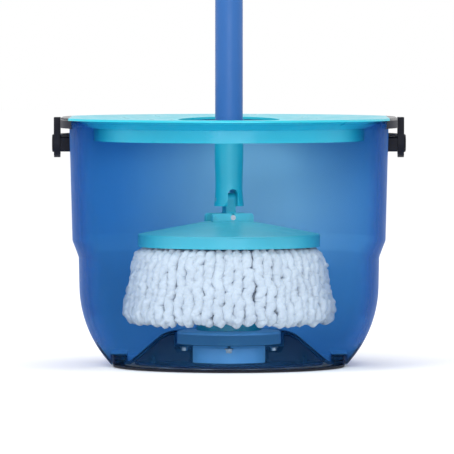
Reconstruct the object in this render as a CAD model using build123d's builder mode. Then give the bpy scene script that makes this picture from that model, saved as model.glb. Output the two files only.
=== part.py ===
"""A spin mop standing in its bucket, in millimetres.

The origin is on the floor, under the drive axis. +Z is up, -Y is the side that faces the user,
and the bucket runs back along +Y to its pouring end. The mop's swivel joint is turned about the
drive axis by mop_turn, so its parts are drawn on the mop_xz and mop_yz planes.
"""

import os
from math import cos, radians, sin

from build123d import *

# Bucket. Its plan is a racetrack: a half circle round the drive axis, two straights, a half circle.
bucket_run = 57.0  # length of the straights
rim_radius = 153.3  # outside of the wall at the rim
rim_z = 236.5
wall = 2.4
floor_z = 2.0  # underside of the bucket's floor
floor_radius = 113.6  # where the underside meets the wall
belly = (143.0, 36.2)  # corner of the rounded lower wall
belly_bend = 112.0
step_low = (144.3, 105.0)  # the wall steps outwards above the wash level
step_high = (150.4, 121.0)
step_bend = 7.0
flange_radius = 162.0
flange_drop = 7.5
flange_skin = 2.3

# Dome in the bucket's floor, round the drive
dome_z = 34.1
dome_shoulder = 61.0
dome_foot = 96.0
dome_bend = 28.0
seat_radius = 50.2  # pocket that holds the drive's flange
seat_z = 21.6
seat_bore = 36.0
frame_boss_ring = 78.0
frame_screw_angles = (22.5, 157.5, 202.5, 337.5)
frame_boss = 4.0  # radius of the bosses the frame's screws go into
frame_screw = 1.25

# Base frame, the ribbed plate that stiffens the hollow under the dome
frame_radius = 90.5
frame_bore = 38.6
frame_z = 2.2
frame_skin = 2.2
frame_hole_ring = 62.0
frame_hole = 9.0
rib_thickness = 3.0
rib_angles = (0, 45, 90, 135, 180)

# Foot ring
foot_centre = 105.7
foot_width = 10.8
foot_skin = 2.0  # the foot is a thin ring with a tall block along each straight
foot_block = 9.2
foot_block_length = 84.0
pocket_wall = 2.4
foot_groove = (1.2, 1.6)  # two grooves run round the foot's underside, 2 mm either side of its middle

# Splash guard
guard_skin = 2.2
guard_top = rim_z + guard_skin
mouth_radius = 127.7
mouth_z = 231.0
skirt_z = 216.6
pour_chord_y = 148.0
pour_half_width = 53.6
pour_depth = 37.0

# Bail
bail_pivot = (0.0, bucket_run / 2, 213.6)
bail_inner = 162.6
bail_thickness = 6.0
bail_outer = bail_inner + bail_thickness
bail_height = 16.0
bail_arc_y = 64.0
bail_boss = 13.7
bail_boss_width = 30.0
bail_boss_top = 238.6
bail_pin = 6.0
bail_pin_start = 154.2
grip_half_angle = 19.0
grip_width = 15.0
grip_height = 21.0

# Drive
flange_disc_radius = 49.7
cup_radius = 34.8
cup_wall = 2.8
cup_z = 3.2
cover_radius = 36.6
cover_z = 1.2
cover_screw_ring = 30.5
flange_screw_ring = 43.2
screw_core = 1.2  # radius of the small screws' shanks
flange_screw_core = 1.4
bearing_bore = 6.0
bearing_outside = 14.0
bearing_width = 8.0
bearing_low_z = 5.5
bearing_high_z = 23.0
ball_radius = 2.0
ball_ring = (bearing_bore + bearing_outside) / 2
shaft_top = 84.0
hub_neck_radius = 8.0
pad_height = 2.4
hub_radius = 31.2
hub_z = 34.8
hub_shoulder_z = 96.0
hub_wall = 2.6
nose_radius = 17.0
nose_top = 118.5
spline_count = 6
spline_depth = 2.5
spline_width = 4.0
spline_play = 0.35

# Mop head
mop_turn = 18.0
plate_radius = 87.6
plate_z = 115.2
plate_rim_top = 126.4
plate_top = 139.4
crown_radius = 21.0
plate_skin = 2.4
boss_radius = 24.0
socket_radius = 20.6
clip_radius = 2.6
socket_bottom = 98.7
socket_top = 126.0
socket_screw_ring = 9.0
carrier_z = 115.6
carrier_inner = 34.0
carrier_outer = 84.8
carrier_skin = 3.4
carrier_clip_ring = 58.0
fringe_inner = 66.0
fringe_top_radius = 91.8
fringe_foot_radius = 102.6
fringe_foot_z = 46.5

# Swivel joint
lower_pin_z = 143.0
upper_pin_z = 160.0
joint_pin = 2.5
pin_play = 0.08
barrel_radius = 6.5
ear_inner = 8.4
ear_outer = 13.4
ear_half_width = 20.5
ear_top = 147.0
ear_slot = 2.6
tongue_half = 4.8
tongue_radius = 6.4
slot_half = 5.15
slot_top = 170.4
fork_reach = 12.6
joint_bottom = 153.8
joint_top = 232.0
spigot_floor = 236.0
spigot_top = 262.0
spigot_bore = 8.5

# Pole
lower_tube_radius = 13.3
tube_wall = 1.2
lower_tube_top = 640.0
upper_tube_radius = 11.0
upper_tube_bottom = 560.0
upper_tube_top = 1046.0
twist_lead = 110.0  # the twisted bar turns once in this length
bar_width = 9.0
bar_thickness = 2.6
bar_bottom = 244.0
bar_pin_z = 250.0
bar_pin_radius = 1.2
twist_start = 268.0
twist_steps = 72
bar_top = 600.0
nut_bottom = 536.0
nut_pin_z = 548.0
nut_pin_radius = 1.3
collar_bottom = 596.0
collar_top = 668.0
collar_radius = 15.0
lock_bottom = 642.0
lock_top = 661.5
lock_radius = 17.6
grip_bottom = 893.0
grip_top = 1032.0
grip_grooves = 9
cap_radius = 13.2
eye_radius = 6.0
eye_z = 1072.0
tab_radius = 12.0
tab_thickness = 8.0
button_z = 247.0
button_radius = 3.9

along_pin = (cos(radians(mop_turn)), sin(radians(mop_turn)), 0)
to_user = (sin(radians(mop_turn)), -cos(radians(mop_turn)), 0)
to_back = (-to_user[0], -to_user[1], 0)
mop_xz = Plane((0, 0, 0), x_dir=along_pin, z_dir=to_user)
mop_yz = Plane((0, 0, 0), x_dir=to_back, z_dir=along_pin)

near_axis = Axis((0, 0, 0), (0, 0, -1))
far_axis = Axis((0, bucket_run, 0), (0, 0, 1))
to_far = Location((0, bucket_run, 0))


def round_bucket(profile, mode=Mode.ADD):
    """Takes an XZ profile round the racetrack: two half turns joined by two straights."""
    revolve(profile, axis=near_axis, revolution_arc=180, mode=mode)
    revolve(profile.moved(to_far), axis=far_axis, revolution_arc=180, mode=mode)
    extrude(profile, amount=bucket_run, dir=(0, 1, 0), mode=mode)
    extrude(profile.mirror(Plane.YZ), amount=bucket_run, dir=(0, 1, 0), mode=mode)


def racetrack(radius):
    """The bucket's plan at a distance from its middle line, in the sketch that is open."""
    with Locations((0, bucket_run / 2)):
        SlotCenterToCenter(bucket_run, 2 * radius, rotation=90)


def bucket_section(inner_edge):
    """The wall's outline, filled in to inner_edge, and taller than the rim by a wall."""
    with BuildSketch(Plane.XZ) as section:
        with BuildLine():
            over_rim = (rim_radius + 0.3, rim_z + 4 * wall)
            FilletPolyline(
                (floor_radius, floor_z),
                belly,
                step_low,
                step_high,
                over_rim,
                radius=(belly_bend, step_bend, step_bend),
            )
            Polyline(
                over_rim,
                (inner_edge, over_rim[1]),
                (inner_edge, floor_z),
                (floor_radius, floor_z),
            )
        make_face()
    return section.sketch


def dome_section(inset):
    """The dome's top face moved in by inset, down to below the floor."""
    with BuildSketch(Plane.XZ) as section:
        with BuildLine():
            low = floor_z - 6.0
            slope = (dome_z - floor_z - wall) / (dome_foot - dome_shoulder)
            reach = dome_foot + (floor_z + wall - low) / slope
            FilletPolyline(
                (0, dome_z - inset),
                (dome_shoulder - 0.37 * inset, dome_z - inset),
                (reach - 1.55 * inset, low),
                radius=dome_bend - inset,
            )
            Polyline((reach - 1.55 * inset, low), (0, low), (0, dome_z - inset))
        make_face()
    return section.sketch


# ---------------------------------------------------------------- bucket

with BuildSketch(Plane.XZ) as bucket_cavity:
    add(bucket_section(-wall))
    offset(amount=-wall, kind=Kind.INTERSECTION)

with BuildSketch(Plane.XZ) as rim_flange:
    with BuildLine():
        Polyline(
            (rim_radius - 1.0, rim_z),
            (flange_radius, rim_z),
            (flange_radius, rim_z - flange_drop),
            (flange_radius - flange_skin, rim_z - flange_drop),
            (flange_radius - flange_skin, rim_z - flange_skin),
            (rim_radius - 1.0, rim_z - flange_skin),
            close=True,
        )
    make_face()


def foot_blocks(grow, top):
    """The outline of the foot's two tall blocks, grown by a wall or a play, up to a height."""
    with BuildSketch(Plane.XY.offset(floor_z)) as outline:
        with Locations((foot_centre, bucket_run / 2), (-foot_centre, bucket_run / 2)):
            RectangleRounded(foot_width + 2 * grow, foot_block_length + 2 * grow, 2 + grow)
    return extrude(outline.sketch, amount=top - floor_z, mode=Mode.PRIVATE)


with BuildPart() as bucket_shell:
    round_bucket(bucket_section(0))
    round_bucket(bucket_cavity.sketch, mode=Mode.SUBTRACT)
    with BuildSketch(Plane.XY.offset(rim_z)):
        racetrack(flange_radius + 20)
    extrude(amount=20, mode=Mode.SUBTRACT)
    round_bucket(rim_flange.sketch)
    add(foot_blocks(pocket_wall, foot_block + pocket_wall))
    revolve(dome_section(0), axis=Axis.Z)
    with BuildSketch(Plane.XY.offset(seat_z - wall)):
        Circle(seat_radius + wall)
    extrude(amount=dome_z - seat_z + wall)
    with BuildSketch(Plane.XY.offset(floor_z)):
        racetrack(flange_radius + 20)
    extrude(amount=-20, mode=Mode.SUBTRACT)
    # the hollow under the dome, with the seat's pocket and its bosses left in it
    with BuildPart(mode=Mode.SUBTRACT):
        revolve(dome_section(wall), axis=Axis.Z)
        with BuildSketch(Plane.XY.offset(seat_z - wall)):
            Circle(seat_radius + wall)
        extrude(amount=dome_z, mode=Mode.SUBTRACT)
        with BuildSketch(Plane.XY.offset(floor_z + wall)):
            for angle in frame_screw_angles:
                with PolarLocations(frame_boss_ring, 1, start_angle=angle):
                    Circle(frame_boss)
        extrude(amount=dome_z, mode=Mode.SUBTRACT)
    with BuildSketch(Plane.XY.offset(seat_z)):
        Circle(seat_radius)
    extrude(amount=20, mode=Mode.SUBTRACT)
    with BuildSketch(Plane.XY.offset(floor_z)):
        Circle(seat_bore)
        with PolarLocations(flange_screw_ring, 4):
            Circle(1.6)
    extrude(amount=dome_z, mode=Mode.SUBTRACT)
    with BuildSketch(Plane.XY.offset(floor_z + wall)):
        for angle in frame_screw_angles:
            with PolarLocations(frame_boss_ring, 1, start_angle=angle):
                Circle(frame_screw)
    extrude(amount=8, mode=Mode.SUBTRACT)
    add(foot_blocks(0.0, foot_block), mode=Mode.SUBTRACT)

with BuildSketch(Plane.XZ) as foot_bar:
    with Locations((foot_centre, foot_skin / 2)):
        Rectangle(foot_width, foot_skin)
    with Locations((foot_centre - 2, 0), (foot_centre + 2, 0)):
        Rectangle(*foot_groove, mode=Mode.SUBTRACT)

with BuildPart() as foot_ring:
    round_bucket(foot_bar.sketch)
    add(foot_blocks(0.0, foot_block))

with BuildSketch(Plane.XZ) as rib_shape:
    with BuildLine():
        Polyline(
            (38.0, 3.0),
            (38.0, 13.0),
            (50.0, 13.0),
            (53.2, 18.6),
            (53.2, 29.6),
            (57.0, 29.4),
            (66.0, 25.0),
            (89.0, 4.4),
            (89.0, 3.0),
            close=True,
        )
    make_face()

with BuildPart() as base_frame:
    with BuildSketch(Plane.XY.offset(frame_z)):
        Circle(frame_radius)
        Circle(frame_bore, mode=Mode.SUBTRACT)
        with PolarLocations(frame_hole_ring, 8, start_angle=22.5):
            Circle(frame_hole, mode=Mode.SUBTRACT)
        for angle in frame_screw_angles:
            with PolarLocations(frame_boss_ring, 1, start_angle=angle):
                Circle(1.6, mode=Mode.SUBTRACT)
    extrude(amount=frame_skin)
    for rib_angle in rib_angles:
        extrude(Rot(0, 0, rib_angle) * rib_shape.sketch, amount=rib_thickness / 2, both=True)

with BuildPart() as frame_screws:
    for angle in frame_screw_angles:
        with BuildSketch(Plane.XY.offset(0.5)):
            with PolarLocations(frame_boss_ring, 1, start_angle=angle):
                Circle(3)
                RegularPolygon(1.2, 6, mode=Mode.SUBTRACT)
        extrude(amount=1.7)
        with BuildSketch(Plane.XY.offset(1.6)):
            with PolarLocations(frame_boss_ring, 1, start_angle=angle):
                Circle(frame_screw)
        extrude(amount=9)

# ---------------------------------------------------------------- splash guard

def funnel(top_radius, top_z, low_radius, low_z):
    """A solid that narrows from the bucket's plan to the round mouth."""
    with BuildSketch(Plane.XY.offset(low_z)) as low_edge:
        SlotCenterToCenter(0.2, 2 * low_radius, rotation=90)
    with BuildSketch(Plane.XY.offset(top_z)) as top_edge:
        racetrack(top_radius)
    loft([low_edge.sketch.face(), top_edge.sketch.face()])


with BuildPart() as splash_guard:
    with BuildSketch(Plane.XY.offset(rim_z)):
        racetrack(flange_radius)
    extrude(amount=guard_skin)
    fillet(splash_guard.edges().group_by(Axis.Z)[-1], radius=1.4)
    with BuildPart() as funnel_outside:
        funnel(rim_radius - wall - 0.8, rim_z, mouth_radius + 4.0, mouth_z - 2.4)
    with BuildSketch(Plane.XY.offset(skirt_z)):
        Circle(mouth_radius + guard_skin)
    extrude(amount=mouth_z - skirt_z)
    with BuildPart(mode=Mode.SUBTRACT) as funnel_inside:
        funnel(rim_radius - 2.0, guard_top + 0.001, mouth_radius + 2.0, mouth_z)
    with BuildSketch(Plane.XY.offset(skirt_z)):
        Circle(mouth_radius)
    extrude(amount=40, mode=Mode.SUBTRACT)
    with BuildSketch(Plane.XY.offset(skirt_z)):
        with BuildLine():
            Line((-pour_half_width, pour_chord_y), (pour_half_width, pour_chord_y))
            ThreePointArc(
                (pour_half_width, pour_chord_y),
                (0, pour_chord_y + pour_depth),
                (-pour_half_width, pour_chord_y),
            )
        make_face()
        fillet(vertices(), radius=6)
    extrude(amount=40, mode=Mode.SUBTRACT)


# ---------------------------------------------------------------- bail

with BuildPart() as bail_lugs:
    with BuildSketch(Plane.YZ.offset(rim_radius - 3)):
        with Locations((bail_pivot[1], bail_pivot[2] - 0.8)):
            RectangleRounded(26, 14.4, 2)
    extrude(amount=flange_radius + 0.3 - rim_radius + 3)
    round_bucket(bucket_section(0), mode=Mode.SUBTRACT)
    with BuildSketch(Plane.YZ.offset(bail_pin_start)):
        with Locations(bail_pivot[1:]):
            Circle(bail_pin)
    extrude(amount=20, mode=Mode.SUBTRACT)
    mirror(about=Plane.YZ)

with BuildPart() as bail_pins:
    with BuildSketch(Plane.YZ.offset(bail_pin_start)):
        with Locations(bail_pivot[1:]):
            Circle(bail_pin)
    extrude(amount=bail_outer + 0.1 - bail_pin_start)
    with BuildSketch(Plane.YZ.offset(bail_outer + 0.1)):
        with Locations(bail_pivot[1:]):
            Circle(8.6)
    extrude(amount=1.8)
    fillet(bail_pins.edges().group_by(Axis.X)[-1], radius=1.2)
    mirror(about=Plane.YZ)

with BuildPart() as bail_handle:
    with BuildSketch(Plane.XY.offset(bail_pivot[2] - bail_height / 2)):
        with BuildLine():
            Line((bail_outer, bail_pivot[1]), (bail_outer, bail_arc_y))
            ThreePointArc((bail_outer, bail_arc_y), (0, bail_arc_y + bail_outer), (-bail_outer, bail_arc_y))
            Line((-bail_outer, bail_arc_y), (-bail_outer, bail_pivot[1]))
            Line((-bail_outer, bail_pivot[1]), (-bail_inner, bail_pivot[1]))
            Line((-bail_inner, bail_pivot[1]), (-bail_inner, bail_arc_y))
            ThreePointArc((-bail_inner, bail_arc_y), (0, bail_arc_y + bail_inner), (bail_inner, bail_arc_y))
            Line((bail_inner, bail_arc_y), (bail_inner, bail_pivot[1]))
            Line((bail_inner, bail_pivot[1]), (bail_outer, bail_pivot[1]))
        make_face()
    extrude(amount=bail_height)
    for side in (-1, 1):
        with BuildSketch(Plane.YZ.offset(side * (bail_inner + bail_thickness / 2))):
            with Locations(bail_pivot[1:]):
                Circle(bail_boss)
            with Locations((bail_pivot[1], (bail_pivot[2] + bail_boss_top) / 2)):
                Rectangle(2 * bail_boss, bail_boss_top - bail_pivot[2])
        extrude(amount=bail_thickness / 2, both=True)
    with BuildSketch(Plane.YZ):
        with Locations(bail_pivot[1:]):
            Circle(bail_pin + pin_play)
    extrude(amount=bail_inner + 20, both=True, mode=Mode.SUBTRACT)

with BuildSketch(Plane.XZ) as grip_section:
    with Locations((bail_inner + bail_thickness / 2, bail_pivot[2])):
        RectangleRounded(grip_width, grip_height, 6)
        Rectangle(bail_thickness, bail_height, mode=Mode.SUBTRACT)

with BuildPart() as bail_grip:
    revolve(
        Pos(0, bail_arc_y, 0) * Rot(0, 0, 90 - grip_half_angle) * grip_section.sketch,
        axis=Axis((0, bail_arc_y, 0), (0, 0, 1)),
        revolution_arc=2 * grip_half_angle,
    )

# ---------------------------------------------------------------- drive housing

with BuildPart() as drive_housing:
    with BuildSketch(Plane.XY.offset(seat_z + 0.4)):
        Circle(flange_disc_radius)
    extrude(amount=dome_z - seat_z - 0.4)
    fillet(drive_housing.edges().group_by(Axis.Z)[-1], radius=2.5)
    with BuildSketch(Plane.XY.offset(cup_z)):
        Circle(cup_radius)
    extrude(amount=seat_z - cup_z + 1)
    with BuildSketch(Plane.XY.offset(cup_z)):
        Circle(cup_radius - cup_wall)
    extrude(amount=dome_z - cup_wall - cup_z, mode=Mode.SUBTRACT)
    with BuildSketch(Plane.XY.offset(cup_z)):
        Circle(bearing_outside + 3)
        with PolarLocations(cover_screw_ring, 4, start_angle=45):
            Circle(3.6)
    extrude(amount=dome_z - cup_wall - cup_z + 1)
    with BuildSketch(Plane.XY.offset(cup_z + 5)):
        with PolarLocations((bearing_outside + cup_radius) / 2, 8):
            Rectangle(cup_radius - bearing_outside - 2, 2)
    extrude(amount=dome_z - cup_wall - cup_z - 4)
    with BuildSketch(Plane.XY.offset(cup_z)):
        Circle(bearing_outside)
    extrude(amount=bearing_low_z + bearing_width - cup_z, mode=Mode.SUBTRACT)
    with BuildSketch(Plane.XY.offset(bearing_high_z)):
        Circle(bearing_outside)
    extrude(amount=20, mode=Mode.SUBTRACT)
    with BuildSketch(Plane.XY.offset(cup_z)):
        Circle(bearing_outside - 2.6)
        with PolarLocations(cover_screw_ring, 4, start_angle=45):
            Circle(screw_core)
    extrude(amount=20.5, mode=Mode.SUBTRACT)
    with BuildSketch(Plane.XY.offset(seat_z)):
        with PolarLocations(flange_screw_ring, 4):
            Circle(flange_screw_core)
    extrude(amount=9, mode=Mode.SUBTRACT)

with BuildPart() as housing_gasket:
    with BuildSketch(Plane.XY.offset(seat_z)):
        Circle(seat_radius - 1)
        Circle(seat_bore + 0.5, mode=Mode.SUBTRACT)
        with PolarLocations(flange_screw_ring, 4):
            Circle(1.8, mode=Mode.SUBTRACT)
    extrude(amount=0.4)

with BuildPart() as flange_screws:
    with BuildSketch(Plane.XY.offset(seat_z - wall)):
        with PolarLocations(flange_screw_ring, 4):
            Circle(4.2)
    extrude(amount=-1.4)
    with BuildSketch(Plane.XY.offset(seat_z - wall - 1.4)):
        with PolarLocations(flange_screw_ring, 4):
            RegularPolygon(3.1, 6)
    extrude(amount=-3)
    with BuildSketch(Plane.XY.offset(seat_z - wall)):
        with PolarLocations(flange_screw_ring, 4):
            Circle(flange_screw_core)
    extrude(amount=10)

with BuildPart() as base_plate:
    with BuildSketch(Plane.XY.offset(cover_z)):
        Circle(cover_radius)
    extrude(amount=cup_z - cover_z)
    with BuildSketch(Plane.XY.offset(cup_z)):
        Circle(bearing_outside - 0.2)
    extrude(amount=bearing_low_z - cup_z)
    with BuildSketch(Plane.XY.offset(cup_z - 0.6)):
        Circle(bearing_outside - 4.5)
    extrude(amount=10, mode=Mode.SUBTRACT)
    with BuildSketch(Plane.XY.offset(cover_z)):
        with PolarLocations(cover_screw_ring, 4, start_angle=45):
            Circle(screw_core)
    extrude(amount=10, mode=Mode.SUBTRACT)
    chamfer(base_plate.edges().group_by(Axis.Z)[0].sort_by(SortBy.LENGTH)[-1], length=0.5)

with BuildPart() as base_plate_screws:
    with BuildSketch(Plane.XY.offset(cover_z)):
        with PolarLocations(cover_screw_ring, 4, start_angle=45):
            Circle(2.9)
    extrude(amount=-0.8)
    with BuildSketch(Plane.XY.offset(cover_z)):
        with PolarLocations(cover_screw_ring, 4, start_angle=45):
            Circle(screw_core)
    extrude(amount=12)

# ---------------------------------------------------------------- bearings and shaft

def bearing_race(inner, outer, base, groove):
    """Half of a ball bearing: a ring with a round groove facing the balls."""
    with BuildSketch(Plane.XZ) as race:
        with Locations(((inner + outer) / 2, base + bearing_width / 2)):
            RectangleRounded(outer - inner, bearing_width, 0.5)
        with Locations((ball_ring, base + bearing_width / 2)):
            Circle(groove, mode=Mode.SUBTRACT)
    revolve(race.sketch, axis=Axis.Z)


with BuildPart() as bearing_outer_rings:
    for base in (bearing_low_z, bearing_high_z):
        bearing_race(ball_ring + 1.5, bearing_outside, base, ball_radius)

with BuildPart() as bearing_inner_rings:
    for base in (bearing_low_z, bearing_high_z):
        bearing_race(bearing_bore, ball_ring - 1.5, base, ball_radius + 0.07)

with BuildPart() as bearing_balls:
    for base in (bearing_low_z, bearing_high_z):
        with Locations((0, 0, base + bearing_width / 2)):
            with PolarLocations(ball_ring, 8):
                Sphere(ball_radius)

with BuildPart() as shaft_seal:
    with BuildSketch(Plane.XY.offset(bearing_high_z + bearing_width + 0.3)):
        Circle(bearing_outside)
        Circle(hub_neck_radius + pin_play, mode=Mode.SUBTRACT)
    extrude(amount=dome_z - bearing_high_z - bearing_width - 0.5)

with BuildPart() as bearing_spacer:
    with BuildSketch(Plane.XY.offset(bearing_low_z + bearing_width)):
        Circle(bearing_bore + 2)
        Circle(bearing_bore, mode=Mode.SUBTRACT)
    extrude(amount=bearing_high_z - bearing_low_z - bearing_width)

with BuildPart() as drive_shaft:
    with BuildSketch(Plane.XY.offset(bearing_low_z - 2.2)):
        Circle(bearing_bore)
    extrude(amount=shaft_top - bearing_low_z + 2.2)
    chamfer(drive_shaft.edges().group_by(Axis.Z)[0], length=0.5)
    with BuildSketch(Plane.XY.offset(bearing_low_z - 1.1)):
        Circle(bearing_bore + 1)
        Circle(bearing_bore - 0.7, mode=Mode.SUBTRACT)
    extrude(amount=1, mode=Mode.SUBTRACT)

with BuildPart() as shaft_circlip:
    with BuildSketch(Plane.XY.offset(bearing_low_z - 1.1)):
        Circle(bearing_bore + 2.2)
        Circle(bearing_bore - 0.7, mode=Mode.SUBTRACT)
        with Locations((bearing_bore + 1, 0)):
            Rectangle(5, 2.4, mode=Mode.SUBTRACT)
    extrude(amount=1)

# ---------------------------------------------------------------- drive hub

with BuildPart() as drive_hub:
    with BuildSketch(Plane.XY.offset(hub_z)):
        Circle(hub_radius)
    extrude(amount=hub_shoulder_z - hub_z)
    fillet(drive_hub.edges().group_by(Axis.Z)[-1], radius=2)
    with BuildSketch(Plane.XY.offset(hub_z)):
        Circle(hub_radius - hub_wall)
    extrude(amount=hub_shoulder_z - hub_z - 3, mode=Mode.SUBTRACT)
    with BuildSketch(Plane.XY.offset(hub_z + 2)):
        Circle(bearing_bore + 4)
        with PolarLocations((hub_radius + bearing_bore) / 2, 6):
            Rectangle(hub_radius - bearing_bore - 2, 2.2)
    extrude(amount=hub_shoulder_z - hub_z - 4)
    with BuildSketch(Plane.XY.offset(bearing_high_z + bearing_width)):
        Circle(hub_neck_radius)
    extrude(amount=12)
    with BuildSketch(Plane.XY.offset(hub_shoulder_z - 1)):
        Circle(nose_radius - spline_depth)
        with PolarLocations(nose_radius - spline_depth - 1, spline_count):
            Rectangle(2 * spline_depth + 2, spline_width)
    extrude(amount=nose_top - hub_shoulder_z + 1)
    with BuildSketch(Plane.XZ) as nose_taper:
        with BuildLine():
            Polyline(
                (nose_radius + 2, nose_top - 9),
                (nose_radius - 4, nose_top + 1),
                (nose_radius + 2, nose_top + 1),
                close=True,
            )
        make_face()
    revolve(nose_taper.sketch, axis=Axis.Z, mode=Mode.SUBTRACT)
    with BuildSketch(Plane.XY):
        Circle(bearing_bore)
    extrude(amount=shaft_top, mode=Mode.SUBTRACT)

with BuildPart() as shoulder_pad:
    with BuildSketch(Plane.XY.offset(hub_shoulder_z)):
        Circle(hub_radius - 2.4)
        Circle(nose_radius + 2, mode=Mode.SUBTRACT)
    extrude(amount=pad_height)

# ---------------------------------------------------------------- mop head

with BuildSketch(Plane.XZ) as plate_outline:
    with BuildLine():
        FilletPolyline(
            (0, plate_top),
            (crown_radius, plate_top),
            (plate_radius, plate_rim_top + 0.6),
            (plate_radius, plate_z),
            radius=(8, 2.2),
        )
        Polyline((plate_radius, plate_z), (0, plate_z), (0, plate_top))
    make_face()

with BuildSketch(Plane.XZ) as plate_hollow:
    with BuildLine():
        Polyline(
            (boss_radius, plate_z - 1),
            (boss_radius, plate_top - plate_skin - 0.7),
            (crown_radius + 8, plate_top - plate_skin - 1.6),
            (plate_radius - plate_skin, plate_rim_top - plate_skin),
            (plate_radius - plate_skin, plate_z - 1),
            close=True,
        )
    make_face()

with BuildPart() as mop_plate:
    revolve(plate_outline.sketch, axis=Axis.Z)
    revolve(plate_hollow.sketch, axis=Axis.Z, mode=Mode.SUBTRACT)
    with BuildSketch(Plane.XY.offset(plate_z - 1)):
        Circle(boss_radius + 1)
    extrude(amount=2, mode=Mode.SUBTRACT)
    with BuildSketch(Plane.XY.offset(socket_bottom)):
        Circle(boss_radius)
    extrude(amount=plate_top - 3 - socket_bottom)
    with BuildSketch(Plane.XY.offset(plate_z)):
        with PolarLocations(carrier_clip_ring, 6):
            Circle(5)
            Circle(clip_radius, mode=Mode.SUBTRACT)
    extrude(amount=14)
    with BuildSketch(Plane.XY.offset(plate_z - 4)):
        Circle(carrier_outer)
        Circle(carrier_inner, mode=Mode.SUBTRACT)
    extrude(amount=carrier_z + carrier_skin - plate_z + 4, mode=Mode.SUBTRACT)
    for side in (-1, 1):
        ear_plane = mop_xz.offset(side * (ear_inner + ear_outer) / 2)
        with BuildSketch(ear_plane):
            with Locations((0, (plate_top - 3 + ear_top) / 2)):
                Rectangle(2 * ear_half_width, ear_top - plate_top + 3)
            fillet(vertices().group_by(Axis.Z)[-1], radius=3.2)
            with Locations((0, lower_pin_z + 5)):
                Rectangle(ear_slot, 10, mode=Mode.SUBTRACT)
            with Locations((0, lower_pin_z)):
                Circle(joint_pin, mode=Mode.SUBTRACT)
        extrude(amount=(ear_outer - ear_inner) / 2, both=True)
    with BuildSketch(Plane.XY.offset(socket_bottom)):
        Circle(socket_radius)
    extrude(amount=socket_top - socket_bottom, mode=Mode.SUBTRACT)
    with BuildSketch(Plane.XY.offset(socket_top)):
        with PolarLocations(socket_screw_ring, 3):
            Circle(screw_core)
    extrude(amount=9, mode=Mode.SUBTRACT)
    # the middle of the crown is sunk so that the knuckle can swing
    with BuildSketch(mop_xz):
        with Locations((0, lower_pin_z)):
            Circle(barrel_radius + 0.7)
    extrude(amount=ear_inner, both=True, mode=Mode.SUBTRACT)

with BuildPart() as hub_socket:
    with BuildSketch(Plane.XY.offset(socket_bottom)):
        Circle(socket_radius)
    extrude(amount=socket_top - socket_bottom)
    with BuildSketch(Plane.XY.offset(socket_bottom)):
        Circle(nose_radius - spline_depth + spline_play)
        with PolarLocations(nose_radius - spline_depth - 1, spline_count):
            Rectangle(2 * (spline_depth + spline_play) + 2, spline_width + 2 * spline_play)
    extrude(amount=socket_top - socket_bottom - 3.5, mode=Mode.SUBTRACT)
    with BuildSketch(Plane.XY.offset(socket_bottom)):
        with PolarLocations(socket_screw_ring, 3):
            Circle(screw_core)
    extrude(amount=40, mode=Mode.SUBTRACT)

with BuildPart() as socket_screws:
    with BuildSketch(Plane.XY.offset(socket_top - 3.5)):
        with PolarLocations(socket_screw_ring, 3):
            Circle(2.8)
            RegularPolygon(1.1, 6, mode=Mode.SUBTRACT)
    extrude(amount=-2)
    with BuildSketch(Plane.XY.offset(socket_top - 3.5)):
        with PolarLocations(socket_screw_ring, 3):
            Circle(screw_core)
    extrude(amount=12)

with BuildPart() as fringe_carrier:
    with BuildSketch(Plane.XY.offset(carrier_z)):
        Circle(carrier_outer)
        Circle(carrier_inner, mode=Mode.SUBTRACT)
        with PolarLocations(carrier_clip_ring, 6):
            Circle(clip_radius, mode=Mode.SUBTRACT)
    extrude(amount=carrier_skin)

with BuildPart() as carrier_clips:
    with BuildSketch(Plane.XY.offset(carrier_z)):
        with PolarLocations(carrier_clip_ring, 6):
            Circle(5.2)
    extrude(amount=-1.6)
    with BuildSketch(Plane.XY.offset(carrier_z)):
        with PolarLocations(carrier_clip_ring, 6):
            Circle(clip_radius)
    extrude(amount=9)

with BuildSketch(Plane.XZ) as fringe_section:
    with BuildLine():
        Polyline(
            (fringe_inner, fringe_foot_z),
            (fringe_inner, carrier_z),
            (carrier_outer - 2, carrier_z),
            (carrier_outer - 2, plate_z - 0.2),
        )
        Spline(
            (carrier_outer - 2, plate_z - 0.2),
            (fringe_top_radius, 105),
            (fringe_top_radius + 5, 78),
            (fringe_foot_radius, fringe_foot_z),
            tangents=((1, -0.1), (0.2, -1)),
        )
        Line((fringe_foot_radius, fringe_foot_z), (fringe_inner, fringe_foot_z))
    make_face()

with BuildPart() as mop_fringe:
    revolve(fringe_section.sketch, axis=Axis.Z)

with BuildPart() as lower_pin:
    with BuildSketch(mop_xz):
        with Locations((0, lower_pin_z)):
            Circle(joint_pin)
    extrude(amount=ear_outer, both=True)

# ---------------------------------------------------------------- swivel joint

with BuildPart() as joint_knuckle:
    with BuildSketch(mop_xz):
        with Locations((0, lower_pin_z)):
            Circle(barrel_radius)
    extrude(amount=ear_inner - 0.3, both=True)
    with BuildSketch(mop_yz):
        with Locations((0, (lower_pin_z + upper_pin_z) / 2)):
            Rectangle(2 * tongue_radius, upper_pin_z - lower_pin_z)
        with Locations((0, upper_pin_z)):
            Circle(tongue_radius)
    extrude(amount=tongue_half, both=True)
    with BuildSketch(mop_xz):
        with Locations((0, lower_pin_z)):
            Circle(joint_pin + pin_play)
    extrude(amount=20, both=True, mode=Mode.SUBTRACT)
    with BuildSketch(mop_yz):
        with Locations((0, upper_pin_z)):
            Circle(joint_pin + pin_play)
    extrude(amount=20, both=True, mode=Mode.SUBTRACT)

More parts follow.
